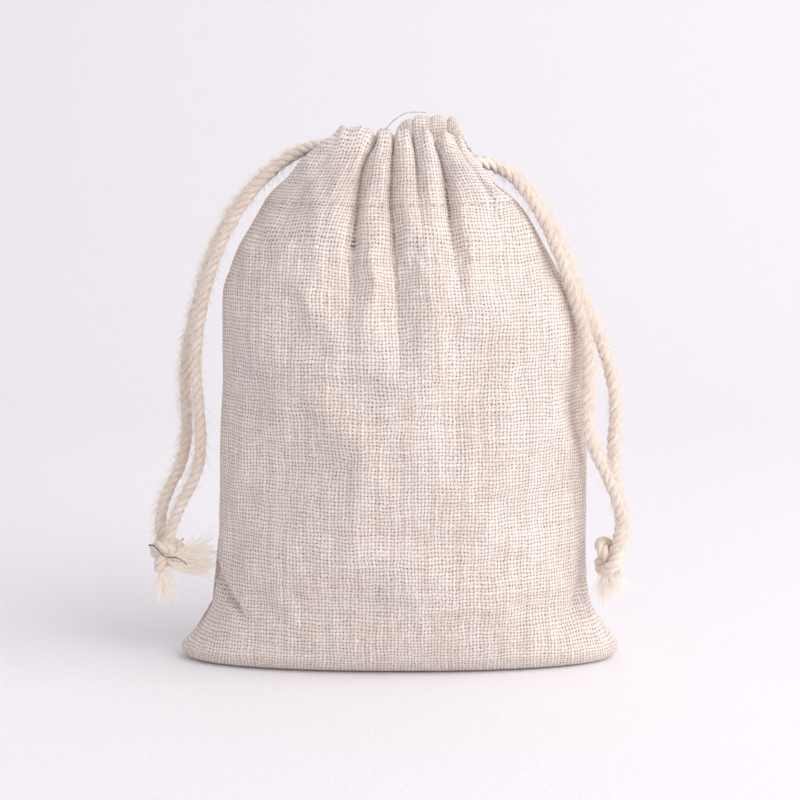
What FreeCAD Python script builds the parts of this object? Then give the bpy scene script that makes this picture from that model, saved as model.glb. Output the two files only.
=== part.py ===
import FreeCAD, Part
import math
import os

# A small linen drawstring pouch filled with herbs, standing on its foot.
# Units are millimetres and degrees. +Z is up, -Y is the front, and the origin is
# the middle of the footprint on the surface that the pouch stands on.
# Two panels are sewn at the sides and along the bottom, and each panel's top is
# turned over into a casing. Two cords run in the casings: the left cord comes out
# at the left and the right cord at the right, and each pair of ends is knotted.

Vector = FreeCAD.Vector
UP = Vector(0, 0, 1)

# ------------------------------------------------------------------ driving sizes

SIZES = {
    # the sewn pouch
    "bag_height": 122.1,
    "flat_width": 100.0,
    "cloth_thickness": 1.0,
    "seam_allowance": 5.0,
    # plan sections of the filled pouch, from the ground up
    "foot_inset": 4.0,
    "foot_half_depth": 14.0,
    "corner_rise": 2.5,
    "corner_half_depth": 17.0,
    "hip_rise": 13.0,
    "hip_half_width": 43.8,
    "hip_half_depth": 21.0,
    "belly_rise": 35.0,
    "belly_half_width": 42.0,
    "belly_half_depth": 22.0,
    "chest_rise": 62.0,
    "chest_half_width": 40.6,
    "chest_half_depth": 21.5,
    "chest_shift": 0.6,
    # plan sections where the cloth draws in, measured down from the throat
    "shoulder_drop": 25.3,
    "shoulder_half_width": 38.5,
    "shoulder_half_depth": 19.5,
    "shoulder_shift": -0.9,
    "collar_drop": 12.3,
    "collar_half_width": 31.8,
    "collar_half_depth": 15.5,
    "collar_shift": -2.1,
    "throat_half_width": 19.5,
    "throat_half_depth": 11.8,
    "throat_shift": -1.0,
    # the two casings that carry the cords
    "tunnel_clearance": 0.7,
    "mouth_gap": 2.0,
    "knuckle_gap": 0.3,
    "casing_half_length": 12.6,
    "lip_rise": 7.5,
    "lip_thickness": 3.0,
    # cords
    "cord_diameter": 3.0,
    "cord_gap": 0.6,
    "stub_start": 3.0,
    "channel_start": 2.6,
    "exit_lead": 1.9,
    "swing_gap": 0.15,
    # knots and frayed ends
    "knot_ring_radius": 2.3,
    "knot_ring_spread": 2.1,
    "knot_tilt": 24.0,
    "fray_root_radius": 1.3,
    # stitches and filling
    "thread_thickness": 0.4,
    "stitch_length": 1.8,
    "stitch_pitch": 3.0,
    "stitch_lift": 0.4,
    "casing_stitch_drop": 4.0,
    "bottom_seam_end_gap": 3.0,
    "filling_seam_gap": 2.4,
    "filling_wall_gap": 0.8,
    "filling_base_gap": 0.4,
    "filling_top_drop": 6.0,
}

doc = FreeCAD.newDocument("herb_pouch")
sheet = doc.addObject("Spreadsheet::Sheet", "sizes")
for row, (name, value) in enumerate(SIZES.items(), start=1):
    sheet.set(f"A{row}", name)
    sheet.set(f"B{row}", str(value))
    sheet.setAlias(f"B{row}", name)
doc.recompute()


def size(name):
    """The value of one cell of the sheet."""
    return float(getattr(sheet, name))


# places that several pieces share, as sheet expressions and as values
# two cords lie one over the other in each tunnel
TUNNEL_RADIUS = "(sizes.cord_diameter + sizes.cord_gap / 2 + sizes.tunnel_clearance)"
CASING_RADIUS = f"({TUNNEL_RADIUS} + sizes.cloth_thickness)"
CORD_LINE_Y = f"(sizes.mouth_gap / 2 + {CASING_RADIUS})"
CORD_LINE_Z = "(sizes.bag_height - sizes.lip_rise)"
THROAT_Z = f"({CORD_LINE_Z} - {CASING_RADIUS} - sizes.knuckle_gap)"

cloth = size("cloth_thickness")
tunnel_radius = size("cord_diameter") + size("cord_gap") / 2 + size("tunnel_clearance")
casing_radius = tunnel_radius + cloth
cord_line_y = size("mouth_gap") / 2 + casing_radius
cord_line_z = size("bag_height") - size("lip_rise")
throat_z = cord_line_z - casing_radius - size("knuckle_gap")
cord_radius = size("cord_diameter") / 2

PARTS = []


def keep(piece, label):
    """Give a finished sub-part its own label and put it on the list to write."""
    piece.Label = label
    PARTS.append(piece)
    return piece


def bind(piece, **expressions):
    """Tie properties to sheet expressions; a double underscore stands for a dot."""
    for path, expression in expressions.items():
        piece.setExpression(path.replace("__", "."), expression)


# ------------------------------------------------------------------ the pouch body

# each level: name, height, half width, half depth, sideways shift
LEVELS = (
    ("foot", "0", "sizes.flat_width / 2 - sizes.foot_inset",
     "sizes.foot_half_depth", "0"),
    ("corner", "sizes.corner_rise", "sizes.flat_width / 2",
     "sizes.corner_half_depth", "0"),
    ("hip", "sizes.hip_rise", "sizes.hip_half_width", "sizes.hip_half_depth", "0"),
    ("belly", "sizes.belly_rise", "sizes.belly_half_width",
     "sizes.belly_half_depth", "sizes.chest_shift"),
    ("chest", "sizes.chest_rise", "sizes.chest_half_width",
     "sizes.chest_half_depth", "sizes.chest_shift"),
    ("shoulder", f"{THROAT_Z} - sizes.shoulder_drop", "sizes.shoulder_half_width",
     "sizes.shoulder_half_depth", "sizes.shoulder_shift"),
    ("collar", f"{THROAT_Z} - sizes.collar_drop", "sizes.collar_half_width",
     "sizes.collar_half_depth", "sizes.collar_shift"),
    ("throat", THROAT_Z, "sizes.throat_half_width", "sizes.throat_half_depth",
     "sizes.throat_shift"),
)


def oval(name, height, half_width, half_depth, shift):
    """A flat ellipse across the pouch."""
    ring = doc.addObject("Part::Ellipse", name)
    bind(ring, MajorRadius=half_width, MinorRadius=half_depth,
         Placement__Base__x=shift, Placement__Base__z=height)
    return ring


def loft(name, rings):
    """A closed solid with straight walls from each ring to the next."""
    solid = doc.addObject("Part::Loft", name)
    solid.Sections = rings
    solid.Solid = True
    solid.Ruled = True
    return solid


def bag_loft(name, side_inset, face_inset, base_height):
    """The pouch's shape, drawn in at the sides and faces, from a raised foot up."""
    rings = []
    for level, height, half_width, half_depth, shift in LEVELS:
        if level == "foot":
            height = base_height
        rings.append(oval(f"{name}_{level}", height, f"{half_width} - {side_inset}",
                          f"{half_depth} - {face_inset}", shift))
    return loft(name, rings)


def block(name, **expressions):
    piece = doc.addObject("Part::Box", name)
    bind(piece, **expressions)
    return piece


def boolean(kind, name, base, tool):
    """Part::Cut or Part::Common of two objects."""
    piece = doc.addObject(kind, name)
    piece.Base = base
    piece.Tool = tool
    return piece


outside = bag_loft("outside", "0", "0", "0")
inside = bag_loft("inside", "sizes.cloth_thickness", "sizes.cloth_thickness",
                  "sizes.cloth_thickness")
shell = boolean("Part::Cut", "shell", outside, inside)

PANEL_REACH = "(sizes.flat_width)"
for label, offset in (("front_panel", f"-{PANEL_REACH}"), ("back_panel", "0")):
    half = block(f"{label}_half", Length=f"2 * {PANEL_REACH}", Width=PANEL_REACH,
                 Height="sizes.bag_height", Placement__Base__x=f"-{PANEL_REACH}",
                 Placement__Base__y=offset)
    keep(boolean("Part::Common", label, shell, half), label)

# ------------------------------------------------------------------ inner seams

# inside the side seams the two allowances lie face to face in the plane y = 0
ALLOWANCE_INSET = "(sizes.cloth_thickness + sizes.seam_allowance)"
seam_core = bag_loft("seam_core", ALLOWANCE_INSET, ALLOWANCE_INSET, "0")
seam_ring = boolean("Part::Cut", "seam_ring", inside, seam_core)
for label, offset in (("left_side_seam", f"-{PANEL_REACH}"), ("right_side_seam", "0")):
    slab = block(f"{label}_slab", Length=PANEL_REACH, Width="2 * sizes.cloth_thickness",
                 Height=f"{THROAT_Z} - 2 * sizes.cloth_thickness",
                 Placement__Base__x=offset,
                 Placement__Base__y="-sizes.cloth_thickness",
                 Placement__Base__z="sizes.cloth_thickness")
    keep(boolean("Part::Common", label, seam_ring, slab), label)

# the bottom seam stops short of the side allowances, at the height of its own top
SEAM_TOP_SHARE = (f"({ALLOWANCE_INSET} - sizes.corner_rise)"
                  " / (sizes.hip_rise - sizes.corner_rise)")
SEAM_TOP_HALF = ("(sizes.flat_width / 2 - (sizes.flat_width / 2 - sizes.hip_half_width)"
                 f" * {SEAM_TOP_SHARE})")
BOTTOM_SEAM_HALF = f"({SEAM_TOP_HALF} - {ALLOWANCE_INSET} - sizes.bottom_seam_end_gap)"
keep(block("bottom_seam", Length=f"2 * {BOTTOM_SEAM_HALF}",
           Width="2 * sizes.cloth_thickness", Height="sizes.seam_allowance",
           Placement__Base__x=f"-{BOTTOM_SEAM_HALF}",
           Placement__Base__y="-sizes.cloth_thickness",
           Placement__Base__z="sizes.cloth_thickness"), "bottom_seam")

# ------------------------------------------------------------------ filling

doc.recompute()
FILLING_FOOT = f"{ALLOWANCE_INSET} + sizes.filling_base_gap"
FILLING_SIDE = f"({ALLOWANCE_INSET} + sizes.filling_seam_gap)"
FILLING_FACE = "(sizes.cloth_thickness + sizes.filling_wall_gap)"
filling_rings = [oval("filling_foot", FILLING_FOOT,
                      f"sizes.hip_half_width - {FILLING_SIDE}",
                      f"sizes.corner_half_depth - {FILLING_FACE}", "0")]
for level, height, half_width, half_depth, shift in LEVELS[2:-1]:
    filling_rings.append(oval(f"filling_{level}", height,
                              f"{half_width} - {FILLING_SIDE}",
                              f"{half_depth} - {FILLING_FACE}", shift))
filling_rings.append(oval("filling_top", f"{THROAT_Z} - sizes.filling_top_drop",
                          f"sizes.throat_half_width - {FILLING_SIDE}",
                          f"sizes.throat_half_depth - {FILLING_FACE}",
                          "sizes.throat_shift"))
keep(loft("herb_filling", filling_rings), "herb_filling")

# ------------------------------------------------------------------ casings


def casing(label, side):
    """A turned-over top edge: a round knuckle about the cord line, with a lip on top."""
    centre_y = f"{side} * {CORD_LINE_Y}"
    along_x = FreeCAD.Rotation(Vector(0, 1, 0), 90)
    tubes = {}
    for name, radius in (("knuckle", CASING_RADIUS), ("tunnel", TUNNEL_RADIUS)):
        tube = doc.addObject("Part::Cylinder", f"{label}_{name}")
        tube.Placement.Rotation = along_x
        bind(tube, Radius=radius, Height="2 * sizes.casing_half_length",
             Placement__Base__x="-sizes.casing_half_length",
             Placement__Base__y=centre_y, Placement__Base__z=CORD_LINE_Z)
        tubes[name] = tube
    lip = block(f"{label}_lip", Length="2 * sizes.casing_half_length",
                Width="sizes.lip_thickness", Height="sizes.lip_rise",
                Placement__Base__x="-sizes.casing_half_length",
                Placement__Base__y=f"{centre_y} - sizes.lip_thickness / 2",
                Placement__Base__z=CORD_LINE_Z)
    body = boolean("Part::Fuse", f"{label}_body", tubes["knuckle"], lip)
    return keep(boolean("Part::Cut", label, body, tubes["tunnel"]), label)


casing("front_casing", -1)
casing("back_casing", 1)

# ------------------------------------------------------------------ cords


def solid_of(label, shape):
    """A sub-part whose shape is made directly."""
    piece = doc.addObject("Part::Feature", label)
    piece.Shape = shape
    return keep(piece, label)


def rounded_path(points, label):
    """Straight runs joined by tangent arcs; an arc takes 0.45 of the shorter run."""
    edges = []
    radii = []
    start = points[0]
    for before, corner, after in zip(points, points[1:], points[2:]):
        into = corner - before
        out = after - corner
        reach = 0.45 * min(into.Length, out.Length)
        half_turn = into.getAngle(out) / 2
        radius = reach / math.tan(half_turn)
        into.normalize()
        out.normalize()
        inward = (out - into).normalize()
        centre = corner + inward * (radius / math.cos(half_turn))
        arc_start = corner - into * reach
        arc_end = corner + out * reach
        edges.append(Part.LineSegment(start, arc_start).toShape())
        edges.append(Part.Arc(arc_start, centre - inward * radius, arc_end).toShape())
        radii.append(radius)
        start = arc_end
    edges.append(Part.LineSegment(start, points[-1]).toShape())
    print(label, "arc radii", [round(radius, 1) for radius in radii])
    return Part.Wire(edges)


def tube_along(path, start, heading, label):
    """A round cord swept along a path, with its volume checked."""
    ring = Part.Wire([Part.Circle(start, heading, cord_radius).toShape()])
    tube = path.makePipeShell([ring], True, False)
    expected = math.pi * cord_radius ** 2 * path.Length
    if abs(tube.Volume / expected - 1) > 0.01:
        raise ValueError(f"{label}: the tube's volume is {tube.Volume / expected:.3f}"
                         " of its section times its length")
    print(label, "length", round(path.Length, 1))
    return tube


def cord_tube(points, label):
    return tube_along(rounded_path(points, label), points[0],
                      points[1] - points[0], label)


def cord_height(side):
    """The left cord lies over the right cord in the casings."""
    lift = (size("cord_diameter") + size("cord_gap")) / 2
    return cord_line_z + lift if side == "left" else cord_line_z - lift


def channel_run(side):
    """The hidden middle of a cord: along both casings and round the far side."""
    outward = -1 if side == "left" else 1
    height = cord_height(side)
    near = outward * size("channel_start")
    far = -outward * size("casing_half_length")
    front_start = Vector(near, -cord_line_y, height)
    front_end = Vector(far, -cord_line_y, height)
    turn = Vector(far - outward * cord_line_y, 0, height)
    back_end = Vector(far, cord_line_y, height)
    back_start = Vector(near, cord_line_y, height)
    path = Part.Wire([
        Part.LineSegment(front_start, front_end).toShape(),
        Part.Arc(front_end, turn, back_end).toShape(),
        Part.LineSegment(back_end, back_start).toShape(),
    ])
    label = f"{side}_cord_channel_run"
    tube = tube_along(path, front_start, front_end - front_start, label)
    solid_of(label, tube)


# where each strand bends over the side of the mouth, and then its free route from
# the point that it swings about down to the knot
BENDS = {
    ("left", "front"): Vector(-20.6, -2.6, 115.9),
    ("left", "back"): Vector(-20.6, 2.6, 115.9),
    ("right", "front"): Vector(19.8, -2.6, 112.4),
    ("right", "back"): Vector(19.8, 2.6, 112.4),
}
STRANDS = {
    ("left", "front"): (
        (-27.3, -2.3, 111.8), (-34.3, -2.3, 104.6), (-40.3, -2.2, 94.0),
        (-44.2, -2.1, 81.5), (-46.0, -2.0, 67.0), (-44.6, -1.8, 53.0),
        (-45.2, -1.8, 43.6), (-49.2, -1.7, 36.4), (-52.2, -1.6, 29.2),
        (-52.6, -1.4, 25.4)),
    ("left", "back"): (
        (-27.3, 2.3, 111.8), (-34.9, 2.3, 105.0), (-41.2, 2.3, 94.4),
        (-45.6, 2.3, 81.0), (-48.9, 2.2, 66.0), (-47.9, 2.2, 53.0),
        (-49.4, 2.1, 44.2), (-53.4, 2.0, 37.0), (-55.0, 1.7, 29.6),
        (-54.0, 1.4, 25.4)),
    ("right", "front"): (
        (25.1, -2.3, 109.6), (30.4, -3.2, 102.6), (34.7, -4.8, 93.6),
        (38.3, -7.6, 83.8), (41.6, -9.4, 72.4), (41.0, -10.0, 61.0),
        (41.3, -9.9, 52.6), (45.6, -9.8, 44.4), (49.4, -9.8, 35.6),
        (49.2, -9.8, 29.4), (47.6, -9.7, 25.8)),
    ("right", "back"): (
        (25.1, 2.3, 109.6), (31.0, 1.2, 102.8), (35.9, -1.0, 93.8),
        (39.8, -3.7, 83.4), (45.3, -5.6, 71.6), (48.1, -6.3, 60.0),
        (47.2, -6.3, 48.6), (48.0, -6.3, 38.8), (50.2, -6.3, 31.6),
        (48.2, -6.3, 25.8)),
}


def cord_side(side):
    """Both ends of one cord: a run out of each casing, and the strand that hangs."""
    outward = -1 if side == "left" else 1
    height = cord_height(side)
    exit_x = size("casing_half_length") + size("exit_lead")
    for face, face_side in (("front", -1), ("back", 1)):
        route = [Vector(*point) for point in STRANDS[side, face]]
        hinge = route[0]
        bend = BENDS[side, face]
        line_y = face_side * cord_line_y
        last_run = (hinge - bend).normalize()
        run = [
            Vector(outward * size("stub_start"), line_y, height),
            Vector(outward * exit_x, line_y, height),
            bend,
            hinge - last_run * (cord_radius + size("swing_gap")),
        ]
        label = f"{side}_cord_{face}_run"
        solid_of(label, cord_tube(run, label))
        label = f"{side}_cord_{face}_strand"
        ball = Part.makeSphere(cord_radius, hinge)
        solid_of(label, cord_tube(route, label).fuse(ball))


channel_run("left")
channel_run("right")
cord_side("left")
cord_side("right")

# ------------------------------------------------------------------ knots and frays

KNOT_CENTRES = {"left": (-53.1, 0.0, 23.4), "right": (46.9, -8.0, 24.3)}

# each side's frayed ends: root, heading, length and end radius
FRAYS = {
    "left": (((-51.0, 0.0, 22.6), (1.0, 0.0, 0.0), 7.4, 3.2),
             ((-53.4, 0.0, 21.6), (-0.12, 0.0, -1.0), 8.2, 2.0)),
    "right": (((46.0, -8.0, 23.2), (-0.15, 0.0, -1.0), 8.2, 2.8),
              ((47.2, -8.0, 23.2), (0.25, 0.1, -1.0), 7.2, 2.0)),
}


def knot(side):
    """An overhand knot in both ends: two tilted rings of cord pulled on to a core."""
    x, y, z = KNOT_CENTRES[side]
    pieces = []
    for name, lean in (("upper", 1), ("lower", -1)):
        ring = doc.addObject("Part::Torus", f"{side}_knot_{name}")
        ring.Placement.Rotation = FreeCAD.Rotation(
            Vector(0.4, 1, 0), lean * size("knot_tilt"))
        bind(ring, Radius1="sizes.knot_ring_radius", Radius2="sizes.cord_diameter / 2",
             Placement__Base__x=str(x), Placement__Base__y=str(y),
             Placement__Base__z=f"{z} + {lean} * sizes.knot_ring_spread")
        pieces.append(ring)
    core = doc.addObject("Part::Sphere", f"{side}_knot_core")
    bind(core, Radius="sizes.knot_ring_radius", Placement__Base__x=str(x),
         Placement__Base__y=str(y), Placement__Base__z=str(z))
    pieces.append(core)
    tied = doc.addObject("Part::MultiFuse", f"{side}_knot")
    tied.Shapes = pieces
    return keep(tied, f"{side}_knot")


def tassel(side):
    """The frayed cord ends below a knot, as plain flared cones."""
    cones = []
    for number, (root, heading, length, end_radius) in enumerate(FRAYS[side], start=1):
        cone = doc.addObject("Part::Cone", f"{side}_fray_{number}")
        cone.Radius2 = end_radius
        cone.Height = length
        cone.Placement = FreeCAD.Placement(
            Vector(*root), FreeCAD.Rotation(UP, Vector(*heading)))
        bind(cone, Radius1="sizes.fray_root_radius")
        cones.append(cone)
    frayed = doc.addObject("Part::MultiFuse", f"{side}_tassel")
    frayed.Shapes = cones
    return keep(frayed, f"{side}_tassel")


for side in ("left", "right"):
    knot(side)
    tassel(side)

# ------------------------------------------------------------------ stitches

doc.recompute()
thread = size("thread_thickness")
stitch = size("stitch_length")
pitch = size("stitch_pitch")


def level_value(column, height):
    """One column of the pouch's levels at a height, between the rings' own values."""
    rows = []
    for ring in outside.Sections:
        base = ring.Placement.Base
        rows.append((base.z, {"half_width": ring.MajorRadius.Value, "shift": base.x}))
    for (low, lower), (high, upper) in zip(rows, rows[1:]):
        if low <= height <= high:
            share = (height - low) / (high - low)
            return lower[column] * (1 - share) + upper[column] * share
    raise ValueError(f"no level at {height}")


def side_stitches(label, outward):
    """Two rows of thread up a side seam, one on each face of its allowances."""
    pieces = []
    bottom = size("hip_rise")
    count = int((throat_z - 2 * cloth - bottom) / pitch)
    for index in range(count):
        z = bottom + index * pitch
        middle = z + stitch / 2
        reach = level_value("half_width", middle) - cloth - size("seam_allowance") / 2
        x = level_value("shift", middle) + outward * reach
        for y in (-cloth - thread, cloth):
            corner = Vector(x - thread / 2, y, z)
            pieces.append(Part.makeBox(thread, thread, stitch, corner))
    return solid_of(label, Part.makeCompound(pieces))


def bottom_stitches():
    """Two rows of thread along the bottom seam."""
    pieces = []
    seam = doc.getObject("bottom_seam").Shape.BoundBox
    count = int(seam.XLength / pitch)
    for index in range(count):
        for y in (seam.YMin - thread, seam.YMax):
            corner = Vector(seam.XMin + index * pitch, y, seam.Center.z)
            pieces.append(Part.makeBox(stitch, thread, thread, corner))
    return solid_of("bottom_seam_stitches", Part.makeCompound(pieces))


def casing_stitches(label, side):
    """The row of stitches that holds a casing's hem, lying on the outside."""
    height = throat_z - size("casing_stitch_drop")
    ring = outside.Shape.slice(UP, height)[0]
    pieces = []
    places = ring.discretize(Distance=pitch)
    for here, there in zip(places, places[1:]):
        middle = (here + there) / 2
        if middle.y * side < thread:
            continue
        along = (there - here).normalize()
        outward = along.cross(UP)
        if outward.dot(middle) < 0:
            outward = -outward
        start = (middle + outward * (thread / 2 + size("stitch_lift"))
                 - along * (stitch / 2))
        pieces.append(Part.makeCylinder(thread / 2, stitch, start, along))
    return solid_of(label, Part.makeCompound(pieces))


side_stitches("left_seam_stitches", -1)
side_stitches("right_seam_stitches", 1)
bottom_stitches()
casing_stitches("front_casing_stitches", -1)
casing_stitches("back_casing_stitches", 1)

# ------------------------------------------------------------------ check and write

doc.recompute()
for item in doc.Objects:
    if "Invalid" in item.State or "Error" in item.State:
        raise RuntimeError(f"{item.Label} did not build: {item.State}")
for piece in PARTS:
    if piece.Shape.isNull() or not piece.Shape.isValid():
        raise RuntimeError(f"{piece.Label} has no valid shape")

os.makedirs("parts", exist_ok=True)
for piece in PARTS:
    piece.Shape.exportStep(f"parts/{piece.Label}.step")
print(len(PARTS), "parts written")
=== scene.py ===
import random
from math import cos, pi, radians, sin, sqrt

import bpy
import numpy as np
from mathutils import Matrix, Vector, noise
from numpy.linalg import norm


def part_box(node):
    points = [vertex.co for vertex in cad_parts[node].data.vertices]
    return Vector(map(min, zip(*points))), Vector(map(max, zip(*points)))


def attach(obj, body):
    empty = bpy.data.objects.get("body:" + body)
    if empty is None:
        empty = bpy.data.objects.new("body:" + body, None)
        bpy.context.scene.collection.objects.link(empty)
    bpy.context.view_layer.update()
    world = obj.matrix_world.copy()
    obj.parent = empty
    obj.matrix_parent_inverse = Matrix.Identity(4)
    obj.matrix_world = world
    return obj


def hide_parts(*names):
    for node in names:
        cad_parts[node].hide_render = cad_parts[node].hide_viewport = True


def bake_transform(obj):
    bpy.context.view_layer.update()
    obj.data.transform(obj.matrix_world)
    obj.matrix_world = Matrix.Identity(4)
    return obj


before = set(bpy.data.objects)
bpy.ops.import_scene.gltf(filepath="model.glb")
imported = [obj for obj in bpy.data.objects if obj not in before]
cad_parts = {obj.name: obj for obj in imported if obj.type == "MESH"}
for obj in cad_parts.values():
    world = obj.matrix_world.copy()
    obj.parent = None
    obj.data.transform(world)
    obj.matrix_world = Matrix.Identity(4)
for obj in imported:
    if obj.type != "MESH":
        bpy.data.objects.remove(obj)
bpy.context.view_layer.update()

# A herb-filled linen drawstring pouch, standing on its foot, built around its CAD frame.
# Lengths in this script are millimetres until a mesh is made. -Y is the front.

MM = 0.001
scene = bpy.context.scene

# cloth, as it was cut
FLAT_HEIGHT = 140
HEM_DEPTH = 16
CLOTH_THICKNESS = 0.8
THREAD_PITCH = 0.8

# cord
CORD_DIAMETER = 3
CORD_RADIUS = CORD_DIAMETER / 2
CORD_LAY = 6.2
PLIES = 3


# --- curves and meshes


def smooth_through(x, xs, ys):
    """A smooth curve through the points (xs, ys), read at x."""
    xs = np.asarray(xs, float)
    ys = np.asarray(ys, float)
    chord = np.diff(ys) / np.diff(xs)
    slope = np.concatenate(([chord[0]], (chord[:-1] + chord[1:]) / 2, [chord[-1]]))
    turning = np.concatenate(([False], chord[:-1] * chord[1:] <= 0, [False]))
    slope[turning] = 0
    x = np.clip(x, xs[0], xs[-1])
    k = np.clip(np.searchsorted(xs, x, side="right") - 1, 0, len(xs) - 2)
    span = xs[k + 1] - xs[k]
    t = (x - xs[k]) / span
    return (ys[k] * (2 * t**3 - 3 * t**2 + 1) + slope[k] * span * (t**3 - 2 * t**2 + t)
            + ys[k + 1] * (3 * t**2 - 2 * t**3) + slope[k + 1] * span * (t**3 - t**2))


def ramp(x, low, high):
    """0 below low, 1 above high, smooth between."""
    t = np.clip((x - low) / (high - low), 0, 1)
    return t * t * (3 - 2 * t)


def new_object(name, vertices, faces, uvs=None):
    """A smooth mesh object from vertices in millimetres; uvs are per vertex."""
    mesh = bpy.data.meshes.new(name)
    mesh.from_pydata([tuple(v) for v in np.asarray(vertices) * MM], [], faces)
    mesh.validate()
    mesh.shade_smooth()
    if uvs is not None:
        layer = mesh.uv_layers.new(name="threads")
        corners = np.empty(len(mesh.loops), dtype=np.int64)
        mesh.loops.foreach_get("vertex_index", corners)
        layer.data.foreach_set("uv", np.asarray(uvs, float)[corners].ravel())
    obj = bpy.data.objects.new(name, mesh)
    scene.collection.objects.link(obj)
    return obj


def grid_faces(rows, columns, flip=False, closed=False):
    """Quads of a grid of rows by columns; closed joins the last column to the first."""
    faces = []
    last = columns if closed else columns - 1
    for row in range(rows - 1):
        for column in range(last):
            beside = (column + 1) % columns
            quad = [row * columns + column, row * columns + beside,
                    (row + 1) * columns + beside, (row + 1) * columns + column]
            faces.append(quad[::-1] if flip else quad)
    return faces


def evaluated_mesh(obj):
    """A new mesh of the object with its modifiers applied."""
    graph = bpy.context.evaluated_depsgraph_get()
    return bpy.data.meshes.new_from_object(obj.evaluated_get(graph))


# --- materials


class Shader:
    """A small helper that builds one procedural material."""

    def __init__(self, name):
        self.material = bpy.data.materials.new(name)
        self.material.use_nodes = True
        self.tree = self.material.node_tree
        self.surface = self.tree.nodes["Principled BSDF"]

    def node(self, kind, inputs=(), **settings):
        made = self.tree.nodes.new(kind)
        for key, value in settings.items():
            setattr(made, key, value)
        for key, value in dict(inputs).items():
            self.feed(made.inputs[key], value)
        return made

    def feed(self, socket, value):
        if isinstance(value, bpy.types.NodeSocket):
            self.tree.links.new(value, socket)
        else:
            socket.default_value = value

    def math(self, operation, *values):
        made = self.tree.nodes.new("ShaderNodeMath")
        made.operation = operation
        for socket, value in zip(made.inputs, values):
            self.feed(socket, value)
        return made.outputs[0]

    def times(self, first, second):
        return self.math("MULTIPLY", first, second)

    def times_add(self, first, second, third):
        return self.math("MULTIPLY_ADD", first, second, third)

    def mix(self, share, first, second):
        inputs = {"Factor": share, "A": first, "B": second}
        return self.node("ShaderNodeMix", inputs, data_type="RGBA").outputs["Result"]

    def map_range(self, value, low, high, to_low=0, to_high=1):
        made = self.node("ShaderNodeMapRange", interpolation_type="SMOOTHSTEP", inputs={
            "Value": value, "From Min": low, "From Max": high,
            "To Min": to_low, "To Max": to_high})
        return made.outputs["Result"]

    def noise(self, vector, scale, detail=2, roughness=0.5):
        made = self.node("ShaderNodeTexNoise", inputs={
            "Vector": vector, "Scale": scale, "Detail": detail, "Roughness": roughness})
        return made.outputs["Fac"]

    def threads(self):
        """The place on the cloth or cord, counted in threads or in millimetres."""
        return self.node("ShaderNodeUVMap", uv_map="threads").outputs["UV"]

    def split(self, vector):
        parts = self.node("ShaderNodeSeparateXYZ", inputs={"Vector": vector}).outputs
        return parts["X"], parts["Y"]

    def vector(self, x, y, z=0):
        return self.node("ShaderNodeCombineXYZ",
                         inputs={"X": x, "Y": y, "Z": z}).outputs["Vector"]

    def finish(self, colour, height, strength, distance, roughness, sheen):
        """Connect the colour and the relief to the surface."""
        bump = self.node("ShaderNodeBump", inputs={
            "Height": height, "Strength": strength, "Distance": distance})
        self.feed(self.surface.inputs["Base Color"], colour)
        self.feed(self.surface.inputs["Normal"], bump.outputs["Normal"])
        self.surface.inputs["Roughness"].default_value = roughness
        self.surface.inputs["Sheen Weight"].default_value = sheen
        self.surface.inputs["Specular IOR Level"].default_value = 0.2
        return self.material


def wandering(look, uv, place, scale, detail, roughness, reach):
    """A place moved about by noise, so that threads don't run straight."""
    drift = look.node("ShaderNodeTexNoise", inputs={
        "Vector": uv, "Scale": scale, "Detail": detail, "Roughness": roughness})
    moved = look.node("ShaderNodeVectorMath", operation="MULTIPLY_ADD")
    look.feed(moved.inputs[0], drift.outputs["Color"])
    moved.inputs[1].default_value = (reach, reach, 0)
    look.feed(moved.inputs[2], place)
    return moved.outputs[0]


def thread_thickness(look, position, index, run, seed):
    """A thread's rounded profile, with its own thickness and slubs along it."""
    wave = look.math("SINE", look.times(look.math("FRACT", position), pi))
    profile = look.math("POWER", look.math("MAXIMUM", wave, 0), 0.7)
    own = look.node("ShaderNodeTexWhiteNoise", noise_dimensions="1D",
                    inputs={"W": look.math("ADD", index, seed)}).outputs["Value"]
    slub = look.noise(look.vector(look.times(index, 3.7), look.times(run, 0.16), seed), 1, 2)
    weight = look.times_add(own, 0.22, 0.80)
    return look.times(profile, look.times_add(look.map_range(slub, 0.45, 0.78), 0.45, weight))


def weave(look, across, along):
    """Height of a plain weave, and how open it is, at a place counted in threads."""
    warp_index = look.math("FLOOR", across)
    weft_index = look.math("FLOOR", along)
    warp = thread_thickness(look, across, warp_index, along, 3)
    weft = thread_thickness(look, along, weft_index, across, 17)
    over = look.math("ABSOLUTE", look.math(
        "MODULO", look.math("ADD", warp_index, weft_index), 2))
    warp_height = look.times(warp, look.times_add(over, 0.45, 0.55))
    weft_height = look.times(weft, look.times_add(over, -0.45, 1))
    gap = look.map_range(look.math("MAXIMUM", warp, weft), 0.42, 0.74, 1, 0)
    return look.math("MAXIMUM", warp_height, weft_height), gap


PALE_LINEN = (0.94, 0.86, 0.81, 1)
TAN_LINEN = (0.82, 0.71, 0.64, 1)
COOL_LINEN = (0.87, 0.81, 0.80, 1)
SPECK_BROWN = (0.20, 0.13, 0.08, 1)
# painted shade for the weave's dips and pinholes, not the linen's own colour
DIP_SHADE = (0.44, 0.33, 0.28, 1)
PINHOLE_SHADE = (0.14, 0.10, 0.08, 1)


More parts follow.
